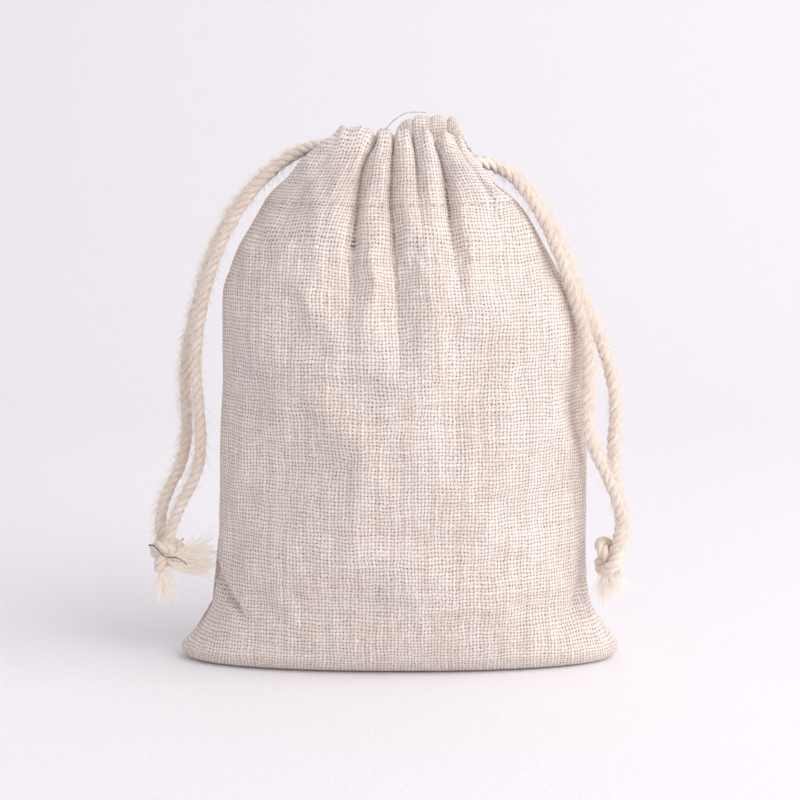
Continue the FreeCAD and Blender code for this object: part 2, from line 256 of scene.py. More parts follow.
def linen_material():
    """Open plain weave: each thread dips under its neighbours, with pinholes between; painted
    shade darkens the dips and the pinholes.
    """
    look = Shader("linen_weave")
    uv = look.threads()
    place = wandering(look, uv, uv, 0.6, 2, 0.5, 0.5)
    place = wandering(look, uv, place, 0.09, 3, 0.6, 2.2)
    across, along = look.split(place)
    height, gap = weave(look, across, along)
    gap = look.times(gap, look.map_range(look.noise(uv, 0.8, 2, 0.7), 0.36, 0.60, 0.15, 1))

    cloudy = look.noise(uv, 0.035, 4, 0.6)
    streaky = look.noise(look.vector(across, look.times(along, 0.06)), 0.8, 3)
    crossways = look.noise(look.vector(look.times(across, 0.06), along), 0.8, 3)
    colour = look.mix(look.map_range(streaky, 0.38, 0.66), PALE_LINEN, TAN_LINEN)
    colour = look.mix(look.times(look.map_range(crossways, 0.42, 0.7), 0.6), colour, TAN_LINEN)
    colour = look.mix(look.times(look.map_range(cloudy, 0.4, 0.7), 0.4), colour, COOL_LINEN)
    specks = look.node("ShaderNodeTexVoronoi", inputs={"Vector": uv, "Scale": 0.11})
    chosen = look.node("ShaderNodeSeparateColor", inputs={"Color": specks.outputs["Color"]})
    speck = look.times(look.map_range(specks.outputs["Distance"], 0.02, 0.045, 0.7, 0),
                       look.math("GREATER_THAN", chosen.outputs["Red"], 0.72))
    colour = look.mix(speck, colour, SPECK_BROWN)
    # painted shade: the low dips of the threads are darkened
    colour = look.mix(look.map_range(height, 0.4, 1, 0.55, 0), colour, DIP_SHADE)
    # painted shade: the pinholes between the threads are darkened
    colour = look.mix(look.times(gap, 0.93), colour, PINHOLE_SHADE)
    relief = look.times_add(look.noise(uv, 5, 2), 0.18, height)
    return look.finish(colour, relief, strength=0.5, distance=0.0003,
                       roughness=0.92, sheen=0.25)


# painted shade for the grooves between the plies
PLY_GROOVE_SHADE = (0.55, 0.42, 0.32, 1)


def cord_material():
    """Twisted cotton: fine yarns that run along each ply, with painted shade in the dips between
    the plies.
    """
    look = Shader("cotton_cord_yarn")
    around, along = look.split(look.threads())
    yarn = look.math("SINE", look.times_add(around, 42, look.times(along, 3.2)))
    ply = look.math("COSINE", look.times(around, 2 * PLIES * pi))
    fibre = look.noise(look.vector(look.times(around, 30), look.times(along, 1.1)), 1, 4, 0.7)
    patch = look.noise(look.vector(around, look.times(along, 0.2)), 1, 3)
    colour = look.mix(look.map_range(fibre, 0.3, 0.7), (0.94, 0.83, 0.75, 1),
                      (0.85, 0.70, 0.60, 1))
    colour = look.mix(look.map_range(patch, 0.4, 0.7, 0, 0.5), colour, (0.96, 0.90, 0.85, 1))
    # painted shade: darker in the grooves between the plies
    colour = look.mix(look.map_range(ply, -1, -0.35, 0.30, 0), colour, PLY_GROOVE_SHADE)
    relief = look.times_add(fibre, 0.8, look.times(yarn, 0.25))
    return look.finish(colour, relief, strength=0.4, distance=0.0003,
                       roughness=0.85, sheen=0.5)


def fibre_material(name, light, dark, own_light=0):
    """Loose cotton fibre; own_light stands for light scattered between the fibres."""
    look = Shader(name)
    place = look.node("ShaderNodeTexCoord").outputs["Object"]
    tone = look.noise(place, 900, 2)
    colour = look.mix(look.map_range(tone, 0.35, 0.65), light, dark)
    look.feed(look.surface.inputs["Base Color"], colour)
    glow = look.node("ShaderNodeBsdfTranslucent")
    look.feed(glow.inputs["Color"], colour)
    blend = look.node("ShaderNodeMixShader")
    blend.inputs[0].default_value = 0.35
    look.feed(blend.inputs[1], look.surface.outputs["BSDF"])
    look.feed(blend.inputs[2], glow.outputs["BSDF"])
    look.feed(look.tree.nodes["Material Output"].inputs["Surface"], blend.outputs["Shader"])
    look.feed(look.surface.inputs["Emission Color"], colour)
    look.surface.inputs["Emission Strength"].default_value = own_light
    look.surface.inputs["Roughness"].default_value = 0.9
    look.surface.inputs["Specular IOR Level"].default_value = 0.1
    return look.material


def herb_material():
    """Crumbled dried leaves, stalks and petals."""
    look = Shader("dried_herbs")
    place = look.node("ShaderNodeTexCoord").outputs["Object"]
    cells = look.node("ShaderNodeTexVoronoi", inputs={"Vector": place, "Scale": 420.0})
    hue = look.node("ShaderNodeSeparateColor", inputs={"Color": cells.outputs["Color"]})
    colour = look.mix(hue.outputs["Red"], (0.20, 0.21, 0.08, 1), (0.42, 0.34, 0.16, 1))
    colour = look.mix(look.map_range(hue.outputs["Green"], 0.86, 0.9), colour,
                      (0.62, 0.44, 0.12, 1))
    return look.finish(colour, cells.outputs["Distance"], strength=0.8, distance=0.0012,
                       roughness=0.95, sheen=0.1)


LINEN = linen_material()
CORD = cord_material()
FUZZ = fibre_material("cotton_fuzz", (1, 0.95, 0.90, 1), (0.97, 0.90, 0.83, 1), 0.06)
FRAY = fibre_material("frayed_cotton", (1, 0.96, 0.92, 1), (0.97, 0.91, 0.85, 1), 0.12)
THREAD = fibre_material("sewing_thread", (0.86, 0.80, 0.73, 1), (0.70, 0.62, 0.54, 1))
HERBS = herb_material()


def paint(obj, material):
    obj.data.materials.clear()
    obj.data.materials.append(material)
    return obj


# --- the cloth panels

# Ribs of the filled pouch from the bottom seam up to the top fold and down the hem:
# distance along the cloth, then the five columns named below. Squareness 2 is an ellipse.
HEIGHT, LEFT, RIGHT, DEPTH, SQUARENESS = range(1, 6)
RIBS = np.array([
    (0, 0.1, -46.5, 46.5, 0.2, 2),
    (8, 0.1, -47, 47, 8, 2.1),
    (14, 0.4, -48.6, 48.6, 14.6, 2.2),
    (17.5, 2.4, -50, 50, 17, 2.2),
    (22, 6.4, -46.8, 47.4, 18.8, 2.1),
    (28, 12.4, -43.1, 43.9, 20.3, 2),
    (38, 22.4, -41.6, 42.6, 21.7, 2),
    (51, 35.6, -41.1, 42.4, 22, 2),
    (78, 62, -40.1, 41.4, 21.5, 2),
    (92, 76, -39.9, 40.5, 20.2, 2),
    (100, 84, -39.4, 38, 19, 2),
    (106, 89.5, -37.8, 34.9, 17.6, 2),
    (112, 95, -35.4, 31.8, 15.9, 2),
    (118, 101.2, -31.8, 28.2, 14.1, 2.1),
    (124, 106, -29, 24.5, 12.8, 2.4),
    (129, 110.2, -25.4, 20.9, 12.6, 3.4),
    (133, 113.9, -22.2, 18.2, 12.4, 4.4),
    (136, 116.9, -18.6, 16.8, 11.9, 4.4),
    (138.2, 119.4, -15.4, 15.4, 10, 3.8),
    (140, 120.9, -14.2, 14.6, 6.8, 3),
    (142, 120.3, -14, 14.4, 3.8, 2.8),
    (145, 118, -14.2, 14.4, 1.9, 2.6),
    (150, 113.2, -15.4, 15, 1.5, 2.6),
    (156, 107.6, -18, 16.8, 2.4, 2.4),
])

# A gather is a crease that the cord draws in. Each has the distances of its points along
# the cloth, their places across, how deep the sharp crease is there, and the soft trough.
FRONT_GATHERS = (
    ((112, 120, 130, 140), (-28.5, -24.5, -18, -12.5),
     (0, 0.3, 0.3, 0.1), (0.7, 0.9, 0.2, 0)),
    ((90, 102, 112, 127, 131, 140), (-11.6, -11.3, -10.8, -8.8, -7.9, -4.9),
     (0, 0.5, 2, 3.4, 3.4, 3.4), (0.9, 2.3, 3, 1.2, 0.3, 0)),
    ((84, 96, 112, 124, 131, 140), (0.4, -0.4, -1, -1.9, -1.7, -1.3),
     (0, 0.4, 2.2, 3.4, 3.4, 3.4), (0.9, 2.3, 3, 1.2, 0.3, 0)),
    ((112, 122, 131, 136, 140), (5, 4.2, 3.6, 3.2, 2.7),
     (0, 0.6, 2.4, 2.9, 3), (0, 0.8, 0.5, 0, 0)),
    ((96, 110, 120, 128, 134, 140), (13.8, 12.4, 11.3, 10.1, 8.8, 7.8),
     (0, 0.6, 2.6, 3.3, 3.3, 3.4), (0.5, 2, 1.8, 0.6, 0, 0)),
    ((106, 116, 124, 130, 136, 140), (23.4, 22, 20.3, 16.4, 13.6, 12.3),
     (0, 0.2, 1, 0.5, 0.9, 2), (1.2, 1.4, 0.3, 0, 0, 0)),
)
BACK_GATHERS = (
    ((108, 118, 130, 140), (-22, -19, -13.4, -9.8),
     (0, 0.8, 1.9, 2.3), (0.8, 1.3, 0.3, 0)),
    ((96, 108, 120, 130, 140), (-12.4, -11.8, -9.4, -7.2, -5.6),
     (0, 0, 1.2, 2.2, 2.6), (0, 1.2, 1, 0, 0)),
    ((110, 122, 132, 140), (-4.4, -3.6, -2.4, -1.6),
     (0, 1.3, 2.2, 2.5), (0.5, 0.8, 0, 0)),
    ((90, 104, 118, 130, 140), (3.2, 3.4, 3, 3.1, 2.6),
     (0, 0, 0.9, 2.1, 1.4), (0, 1, 1.4, 0.3, 0)),
    ((112, 122, 132, 140), (9.8, 8.4, 7.2, 6.6),
     (0, 0.9, 2, 0.8), (0.6, 0.9, 0, 0)),
    ((102, 114, 124, 132, 140), (20.4, 18.4, 15, 12.2, 10.4),
     (0, 0.2, 1.5, 2.1, 1.6), (0.6, 1.4, 0.6, 0, 0)),
)
# Short fold lines near the foot, above the corners: points (place across, distance along
# the cloth), depth and width.
FRONT_CREASES = (
    (((-43, 38.5), (-41, 34.5), (-38.6, 31), (-36, 28)), 2.3, 1.2),
    (((43, 38), (40, 30), (36, 24)), 0.9, 1.8),
    (((-30, 22), (-12, 19)), 0.3, 6),
)
BACK_CREASES = (
    (((41, 37), (37.5, 29), (33, 22)), 1.3, 1.5),
    (((-42, 39), (-39, 30), (-36, 24)), 1, 1.7),
)
# Slits at the sides of the mouth, where the cords come out: half angle in degrees, and
# where along the cloth each begins and is fully open.
LEFT_SLIT = (18, 121, 129)
RIGHT_SLIT = (23, 120, 127)

ROW_COUNT = 270
COLUMN_COUNT = 300
GATHER_START = 94  # distance along the cloth where the gathers begin to narrow it
GATHER_TIGHT = 112  # and where they are at full strength
LIP_START = 130  # the lip above the casing begins here
GATHER_DEEPEST = 3.4  # the deepest sharp crease
CREASE_REACH = 2.4  # how far a sharp crease reaches into a wide lobe
WIDE_LOBE = 7  # lobes wider than this stay flat between their creases
SOFT_WIDTH = 4.6  # half width of the soft trough below a gather
TROUGH_FADE = 20  # length over which a trough fades out downwards
OUTER_LOBE = 4  # distance from the outermost gathers to the cloth beside them
WIDE_TAKE_UP = 4  # half width in which threads are taken up where gathers begin
NARROW_TAKE_UP = 0.9  # the same where they are tight
OUTER_TAKE_UP = 2.8  # and at the gather nearest to the right side
SEAM_PULL = 0.55  # how far the side seams pull the cloth in
SEAM_WIDTH = 0.9
LOWEST = 0.05  # the cloth stays this far above the ground
HALF_MOUTH_GAP = 0.35  # the two panels stay this far from the middle plane at the top
FINER = 4  # an oval is drawn with this many times its points, then read at even steps


def oval_row(left, right, depth, square, left_gap, right_gap, count):
    """Half of a squared oval, from its left edge round the face to its right edge."""
    angle = np.linspace(pi - left_gap, right_gap, count * FINER)
    power = 2 / square
    cosine = np.cos(angle)
    x = (left + right) / 2 + (right - left) / 2 * np.sign(cosine) * np.abs(cosine) ** power
    y = depth * np.abs(np.sin(angle)) ** power
    travelled = np.concatenate(([0], np.cumsum(np.hypot(np.diff(x), np.diff(y)))))
    even = np.linspace(0, travelled[-1], count)
    return np.interp(even, travelled, x), np.interp(even, travelled, y)


def gather_depth(gathers, v, x):
    """How far the gathers pull one row of the cloth in, at each place across."""
    live = []
    soft = np.zeros_like(x)
    for along, across, crease_depth, trough_depth in gathers:
        place = smooth_through(v, along, across)
        live.append((place, np.interp(v, along, crease_depth)))
        fade = ramp(v, along[0] - TROUGH_FADE, along[0] + 0.1)
        trough = np.interp(v, along, trough_depth) * fade
        soft += trough * np.exp(-((x - place) / SOFT_WIDTH) ** 2)
    live.sort()
    sharp = np.zeros_like(x)
    edges = [(x[0] - 1, 0.5)] + live + [(x[-1] + 1, 0.5)]
    for (low, low_depth), (high, high_depth) in zip(edges, edges[1:]):
        inside = (x >= low) & (x < high)
        across = (x[inside] - (low + high) / 2) / max((high - low) / 2, 0.1)
        reach = np.where(across < 0, low_depth, high_depth)
        round_lobe = 1 - np.sqrt(np.clip(1 - across**2, 0, 1))
        from_crease = (1 - np.abs(across)) * (high - low) / 2
        narrow = np.clip(1 - from_crease / CREASE_REACH, 0, 1) ** 2
        sharp[inside] = reach * np.where((high - low) > WIDE_LOBE, narrow, round_lobe)
    return sharp, soft


def rib(v, column):
    """One column of the ribs' table at a distance along the cloth."""
    return smooth_through(v, RIBS[:, 0], RIBS[:, column])


def lobe_centres(gathers, v, x, run):
    """The gathers' places on one row, and the length of cloth run up to each lobe."""
    places = sorted(float(smooth_through(v, along, across)) for along, across, *_ in gathers)
    centres = [places[0] - OUTER_LOBE]
    centres += [(low + high) / 2 for low, high in zip(places, places[1:])]
    centres.append(places[-1] + OUTER_LOBE)
    return places, np.interp(centres, x, run)


def threads_across(gathers, v, x, run, targets):
    """Thread places on a row: each lobe keeps its threads, valleys take up the rest."""
    places, reached = lobe_centres(gathers, min(v, FLAT_HEIGHT), x, run)
    shift = targets - reached
    tight = float(ramp(v, GATHER_START, GATHER_TIGHT))
    width = WIDE_TAKE_UP - (WIDE_TAKE_UP - NARROW_TAKE_UP) * tight
    result = run + shift[0]
    for place, before, after in zip(places, shift, shift[1:]):
        reach = max(width, OUTER_TAKE_UP) if place == places[-1] else width
        result = result + (after - before) * ramp(x, place - reach, place + reach)
    return result


def lumps(x, y, z, seed):
    """The uneven push of the filling behind the cloth."""
    broad = noise.noise(Vector((x / 21 + seed, y / 21, z / 19)))
    small = noise.noise(Vector((x / 7.5, y / 7.5 + seed, z / 6.5)))
    return 0.95 * broad + 0.22 * small


def crease(x, v, points, depth, width):
    """A short fold line: pulled in along the points (place across, distance along)."""
    xs, vs = np.array(points, float).T
    order = np.argsort(vs)
    centre = np.interp(v, vs[order], xs[order])
    inside = ramp(v, vs.min() - 2, vs.min() + 3) * (1 - ramp(v, vs.max() - 3, vs.max() + 2))
    return depth * inside * np.exp(-((x - centre) / width) ** 2)


# The cloth simulation runs on a coarser copy, ten times as large as the real cloth.
SIM_STEP = 3  # every third row and column of the panel
SIM_SCALE = 10
SIM_FRAMES = 16
SIM_REACH = 1.2  # no point moves further than this
SIM_SETTINGS = dict(
    quality=6, mass=0.3, tension_stiffness=20, compression_stiffness=20, shear_stiffness=8,
    bending_stiffness=0.6, shrink_min=-0.007, use_pressure=True,
    uniform_pressure_force=0.12, vertex_group_mass="pins", pin_stiffness=1)
FREE_FROM, FREE_FULLY = 17, 32  # distance along the cloth where it comes free of the foot
HELD_FROM, HELD_FULLY = 108, 128  # and where the gathers hold it again
SEAM_HELD, SEAM_FREE = 3, 24  # columns from a side seam


def settle(points, v, side):
    """How far each point of a panel moves as the cloth settles on its filling."""
    rows = np.arange(0, ROW_COUNT, SIM_STEP)
    columns = np.arange(0, COLUMN_COUNT, SIM_STEP)
    coarse = points[np.ix_(rows, columns)]
    obj = new_object("settling_cloth", coarse.reshape(-1, 3) * SIM_SCALE,
                     grid_faces(len(rows), len(columns), flip=side < 0))
    free_rows = ramp(v[rows], FREE_FROM, FREE_FULLY) * (1 - ramp(v[rows], HELD_FROM, HELD_FULLY))
    from_edge = np.minimum(columns, COLUMN_COUNT - 1 - columns)
    free = np.outer(free_rows, ramp(from_edge, SEAM_HELD, SEAM_FREE)).ravel()
    pins = obj.vertex_groups.new(name="pins")
    for index, share in enumerate(free):
        pins.add([index], 1 - float(share), "REPLACE")
    cloth = obj.modifiers.new("settle", "CLOTH")
    for key, value in SIM_SETTINGS.items():
        setattr(cloth.settings, key, value)
    cloth.settings.effector_weights.gravity = 0
    cloth.point_cache.frame_start = 1
    cloth.point_cache.frame_end = SIM_FRAMES
    for frame_number in range(1, SIM_FRAMES + 1):
        scene.frame_set(frame_number)
    settled = evaluated_mesh(obj)
    places = np.empty(len(settled.vertices) * 3)
    settled.vertices.foreach_get("co", places)
    bpy.data.objects.remove(obj)
    bpy.data.meshes.remove(settled)
    scene.frame_set(1)

    moved = places.reshape(coarse.shape) / MM / SIM_SCALE - coarse
    length = norm(moved, axis=2, keepdims=True)
    moved *= free.reshape(length.shape) ** 0.5
    moved *= SIM_REACH * np.tanh(length / SIM_REACH) / np.maximum(length, 1e-9)
    every_row = np.arange(ROW_COUNT)
    every_column = np.arange(COLUMN_COUNT)
    result = np.empty_like(points)
    for axis in range(3):
        wide = np.array([np.interp(every_column, columns, line) for line in moved[..., axis]])
        result[..., axis] = np.array([np.interp(every_row, rows, line) for line in wide.T]).T
    return result


def slit_angle(v, slit):
    """Half the angle that a slit leaves open on each row."""
    degrees, begins, full = slit
    return np.radians(degrees) * ramp(v, begins, full)


def lip_drop(x, side):
    """How far the lip sags below its highest rib, at each place across."""
    if side > 0:
        return -1.8 + 3.4 * ramp(x, 11, 16) + 3 * ramp(-x, -3.5, 2)
    low = np.interp(x, (-16, -5, 0, 6, 12, 15.5), (0.2, 0.6, 0.9, 0.7, 1.7, 3))
    return low + 0.2 * np.sin(x * 1.7 + 1) + 0.1 * np.sin(x * 3.1)


def smooth_form(v, side):
    """The panel's form before gathers and lumps: one point for each row and column."""
    height, left, right, depth, square = (
        rib(v, column) for column in (HEIGHT, LEFT, RIGHT, DEPTH, SQUARENESS))
    left_slit = slit_angle(v, LEFT_SLIT)
    right_slit = slit_angle(v, RIGHT_SLIT)
    base = np.zeros((ROW_COUNT, COLUMN_COUNT, 3))
    for row in range(ROW_COUNT):
        x, y = oval_row(left[row], right[row], depth[row], square[row],
                        left_slit[row], right_slit[row], COLUMN_COUNT)
        near_top = ramp(v[row], LIP_START, FLAT_HEIGHT)
        base[row, :, 0] = x
        base[row, :, 1] = side * y
        base[row, :, 2] = height[row] - lip_drop(x, side) * near_top
    return base


def pull_in(base, v, side, gathers, creases):
    """How far gathers, creases and hollows pull each point in, and the gathers' share."""
    inward = np.zeros((ROW_COUNT, COLUMN_COUNT))
    gathered = np.zeros((ROW_COUNT, COLUMN_COUNT))
    for row in range(ROW_COUNT):
        x = base[row, :, 0]
        sharp, soft = gather_depth(gathers, min(v[row], FLAT_HEIGHT), x)
        in_hem = 1 - 0.75 * ramp(v[row], FLAT_HEIGHT + 0.5, FLAT_HEIGHT + 4)
        inward[row] = (sharp + soft) * in_hem
        gathered[row] = sharp / GATHER_DEEPEST
        for points, depth, width in creases:
            inward[row] += crease(x, v[row], points, depth, width)
        wrinkled = 0.7 * ramp(v[row], 92, 106) * (1 - ramp(v[row], 128, 138))
        if wrinkled > 0:
            inward[row] += wrinkled * np.array([
                noise.noise(Vector((px / 4.2, 9 * side, pz / 9)))
                for px, _, pz in base[row]])
        push = np.array([lumps(*point, 5 * side) for point in base[row]])
        inward[row] -= push * ramp(v[row], 16, 30) * (1 - 0.6 * ramp(v[row], 100, 122))
    return inward, gathered


def drawn_form(base, v, side, gathers, creases):
    """The panel's form with its gathers, creases, lumps and side seams."""
    along_row = np.gradient(base, axis=1)
    along_rib = np.gradient(base, axis=0)
    normal = np.cross(along_row, along_rib) * -side
    normal /= np.maximum(norm(normal, axis=2, keepdims=True), 1e-9)
    inward, gathered = pull_in(base, v, side, gathers, creases)
    column = np.arange(COLUMN_COUNT)
    from_seam = np.minimum(column, column[::-1]) * norm(along_row, axis=2)
    inward *= ramp(from_seam, 0, 4) * 0.85 + 0.15
    seam_hollow = SEAM_PULL * np.exp(-((from_seam / SEAM_WIDTH) ** 2))
    inward += seam_hollow * ramp(v, 18, 26)[:, None]
    points = base - normal * inward[..., None]
    dip = 1.9 if side < 0 else 0.5
    points[..., 2] -= gathered**3 * dip * ramp(v, 133, FLAT_HEIGHT)[:, None]
    points[..., 2] = np.maximum(points[..., 2], LOWEST)
    gap = HALF_MOUTH_GAP * ramp(v, 105, FLAT_HEIGHT)[:, None]
    points[..., 1] = side * np.maximum(side * points[..., 1], gap)
    return points


def thread_map(points, base, v, gathers):
    """Texture places counted in threads, so that the weave keeps its real pitch."""
    steps = norm(np.diff(points, axis=1), axis=2)
    u = np.concatenate((np.zeros((ROW_COUNT, 1)), np.cumsum(steps, axis=1)), axis=1)
    middle_row = int(np.argmin(np.abs(v - GATHER_START)))
    targets = lobe_centres(gathers, v[middle_row], base[middle_row, :, 0], u[middle_row])[1]
    targets -= np.interp(0, base[middle_row, :, 0], u[middle_row])
    for row in range(ROW_COUNT):
        u[row] = threads_across(gathers, v[row], base[row, :, 0], u[row], targets)
    return np.stack((u, np.broadcast_to(v[:, None], u.shape)), axis=2) / THREAD_PITCH


def panel(name, side, gathers, creases):
    """One cloth panel with its casing and hem; side is -1 in front and +1 behind."""
    v = np.linspace(0, FLAT_HEIGHT + HEM_DEPTH, ROW_COUNT)
    base = smooth_form(v, side)
    points = drawn_form(base, v, side, gathers, creases)
    points = points + settle(points, v, side)
    points[..., 2] = np.maximum(points[..., 2], LOWEST)
    threads = thread_map(points, base, v, gathers)
    obj = new_object(name, points.reshape(-1, 3),
                     grid_faces(ROW_COUNT, COLUMN_COUNT, flip=side > 0),
                     threads.reshape(-1, 2))
    solid = obj.modifiers.new("thickness", "SOLIDIFY")
    solid.thickness = CLOTH_THICKNESS * MM
    solid.offset = -1
    applied = evaluated_mesh(obj)
    obj.modifiers.clear()
    obj.data = applied
    obj.data.shade_smooth()
    paint(obj, LINEN)
    return obj, points, v


front_cloth, front_points, cloth_rows = panel("front_cloth", -1, FRONT_GATHERS,
                                              FRONT_CREASES)
back_cloth, back_points, _ = panel("back_cloth", 1, BACK_GATHERS, BACK_CREASES)

# --- tubes and cords


def frames_along(path):
    """Directions across a polyline that turn as little as possible along it."""
    tangent = np.gradient(path, axis=0)
    tangent /= norm(tangent, axis=1, keepdims=True)
    side = np.cross(tangent[0], (0.3, 1, 0.2))
    side /= norm(side)
    sides = [side]
    for direction in tangent[1:]:
        side = side - direction * side.dot(direction)
        side = side / norm(side)
        sides.append(side)
    sides = np.array(sides)
    return tangent, sides, np.cross(tangent, sides)


def length_along(path):
    """The distance travelled up to each point of a polyline."""
    lengths = norm(np.diff(path, axis=0), axis=1)
    return np.concatenate(([0], np.cumsum(lengths)))


def evenly(path, step):
    """The polyline read again at even steps."""
    travelled = length_along(path)
    count = max(int(travelled[-1] / step), 2)
    even = np.linspace(0, travelled[-1], count + 1)
    return np.stack([np.interp(even, travelled, path[:, k]) for k in range(3)], axis=1)


def spline_points(points):
    """The smooth line of a NURBS curve whose control points are the route's."""
    data = bpy.data.curves.new("route", "CURVE")
    data.dimensions = "3D"
    data.resolution_u = 24
    spline = data.splines.new("NURBS")
    spline.points.add(len(points) - 1)
    for target, point in zip(spline.points, points):
        target.co = (*(c * MM for c in point), 1)
    spline.order_u = 3
    spline.use_endpoint_u = True
    obj = bpy.data.objects.new("route", data)
    scene.collection.objects.link(obj)
    mesh = evaluated_mesh(obj)
    line = np.array([v.co[:] for v in mesh.vertices]) / MM
    bpy.data.objects.remove(obj)
    bpy.data.meshes.remove(mesh)
    return line


AROUND = 30
PLY_DEPTH = 0.42  # 1 leaves the plies round, 0 makes the cord a plain tube


def end_caps(first, count, around):
    """The two faces that close a tube of count rings."""
    last = first + (count - 1) * around
    return [[first + k for k in range(around)][::-1], [last + k for k in range(around)]]


def twisted_tube(path, radius, lay, phase=0):
    """Vertices, faces and uvs of a three-ply cord along an even polyline."""
    _, side, other = frames_along(path)
    travelled = length_along(path)
    ply_radius = radius / (1 + 2 / sqrt(3))
    ring_radius = radius - ply_radius
    angle = np.linspace(0, 2 * pi, AROUND, endpoint=False)
    local = (angle + pi / PLIES) % (2 * pi / PLIES) - pi / PLIES
    reach = ring_radius * np.cos(local) + np.sqrt(
        np.maximum(ply_radius**2 - (ring_radius * np.sin(local)) ** 2, 0.02))
    vertices = []
    uvs = []
    for k, centre in enumerate(path):
        turn = phase + 2 * pi * travelled[k] / lay
        bulge = 1 + 0.04 * sin(travelled[k] * 0.9 + phase)
        spread = (PLY_DEPTH * reach + (1 - PLY_DEPTH) * radius) * bulge
        ring = (centre + np.outer(np.cos(angle + turn) * spread, side[k])
                + np.outer(np.sin(angle + turn) * spread, other[k]))
        vertices.append(ring)
        uvs.append(np.stack((angle / (2 * pi), np.full(AROUND, travelled[k])), axis=1))
    faces = grid_faces(len(path), AROUND, closed=True) + end_caps(0, len(path), AROUND)
    return np.concatenate(vertices), faces, np.concatenate(uvs)


def tube(name, line, radius, lay, material, phase=0):
    """A twisted cord or thread along an even line, as an object."""
    return paint(new_object(name, *twisted_tube(line, radius, lay, phase)), material)


HAIR_SIDES = 5
HAIR_TAPER = 0.6


def add_tube(vertices, faces, line, thickness, around):
    """Add an open tube along a line to a mesh; thickness is its radius at each point."""
    _, side, other = frames_along(line)
    first = len(vertices)
    for k, point in enumerate(line):
        for corner in range(around):
            turn = corner * 2 * pi / around
            vertices.append(point + thickness[k] * (cos(turn) * side[k]
                                                    + sin(turn) * other[k]))
    for quad in grid_faces(len(line), around, closed=True):
        faces.append([first + corner for corner in quad])
    return first


def hair_mesh(name, hairs, radius, material):
    """Many fine fibres, each a tapering tube along its own points."""
    vertices = []
    faces = []
    for hair in hairs:
        taper = [radius * (1 - HAIR_TAPER * k / (len(hair) - 1)) for k in range(len(hair))]
        add_tube(vertices, faces, hair, taper, HAIR_SIDES)
    return paint(new_object(name, vertices, faces), material)


FUZZ_COUNT = {"left": 2300, "right": 2900}
FUZZ_LONGEST = 2.1
FUZZ_RADIUS = 0.045
FUZZ_LEAN = {"left": (-0.4, -0.3, 0.3), "right": (1, -0.1, 0.3)}


def fuzz_along(name, path, count, lean):
    """Loose fibres that stand out of a cord; lean draws them to one side of it."""
    tangent, side, other = frames_along(path)
    lean = np.asarray(lean, float)
    hairs = []
    for _ in range(count):
        k = rng.randrange(4, len(path) - 4)
        turn = rng.uniform(0, 2 * pi)
        out = cos(turn) * side[k] + sin(turn) * other[k]
        if out.dot(lean) < rng.uniform(-1.2, 0.9) * norm(lean):
            out = -out
        sweep = tangent[k] * rng.uniform(0.3, 1.4) * rng.choice((1, 1, -1))
        length = rng.uniform(0.35, 1) ** 1.6 * FUZZ_LONGEST
        droop = np.array((rng.uniform(-0.3, 0.3), rng.uniform(-0.3, 0.3), -0.25))
        points = []
        for step in np.linspace(0, 1, 4):
            points.append(path[k] + out * (CORD_RADIUS * 0.75 + length * step)
                          + sweep * length * step + droop * length * step**2)
        hairs.append(np.array(points))
    return hair_mesh(name, hairs, FUZZ_RADIUS, FUZZ)


# --- cord routes

# Where a cord leaves its casing, bends over the side of the mouth and hangs to its knot.
ROUTES = {
    ("left", "front"): (
        (-3, -6, 116.4), (-14.5, -6, 116.4), (-20.6, -2.6, 115.9),
        (-27.3, -2.3, 111.8), (-34.3, -2.3, 104.6), (-40.3, -2.2, 94),
        (-44.2, -2.1, 81.5), (-46, -2, 67), (-44.6, -1.8, 53),
        (-45.2, -1.8, 43.6), (-49.2, -1.7, 36.4), (-52.2, -1.6, 29.2),
        (-52.6, -1.4, 25.4)),
    ("left", "back"): (
        (-3, 6, 116.4), (-14.5, 6, 116.4), (-20.6, 2.6, 115.9),
        (-27.3, 2.3, 111.8), (-34.9, 2.3, 105), (-41.2, 2.3, 94.4),
        (-45.6, 2.3, 81), (-48.9, 2.2, 66), (-47.9, 2.2, 53),
        (-49.4, 2.1, 44.2), (-53.4, 2, 37), (-55, 1.7, 29.6),
        (-54, 1.4, 25.4)),
    ("right", "front"): (
        (3, -6, 112.8), (14.5, -6, 112.8), (19.8, -2.6, 112.4),
        (25.1, -2.3, 109.6), (30.4, -3.2, 102.6), (34.7, -4.8, 93.6),
        (38.3, -7.6, 83.8), (41.6, -9.4, 72.4), (41, -10, 61),
        (41.3, -9.9, 52.6), (45.6, -9.8, 44.4), (49.4, -9.8, 35.6),
        (49.2, -9.8, 29.4), (47.6, -9.7, 25.8)),
    ("right", "back"): (
        (3, 6, 112.8), (14.5, 6, 112.8), (19.8, 2.6, 112.4),
        (25.1, 2.3, 109.6), (31, 1.2, 102.8), (35.9, -1, 93.8),
        (39.8, -3.7, 83.4), (45.3, -5.6, 71.6), (48.1, -6.3, 60),
        (47.2, -6.3, 48.6), (48, -6.3, 38.8), (50.2, -6.3, 31.6),
        (48.2, -6.3, 25.8)),
}
EXIT_X = 12.6  # where a cord leaves its casing
CASING_Y = 6  # how far in front or behind it runs there
RUN_HEIGHTS = {"left": 116.4, "right": 112.8}  # and how high
YARN_RADIUS = CORD_RADIUS * 0.88  # without the fuzz
FINE_STEP = 0.3
FUZZ_FREE = 60  # steps in the casing, without fuzz

rng = random.Random(7)
cord_pieces = {}
cord_lines = {}


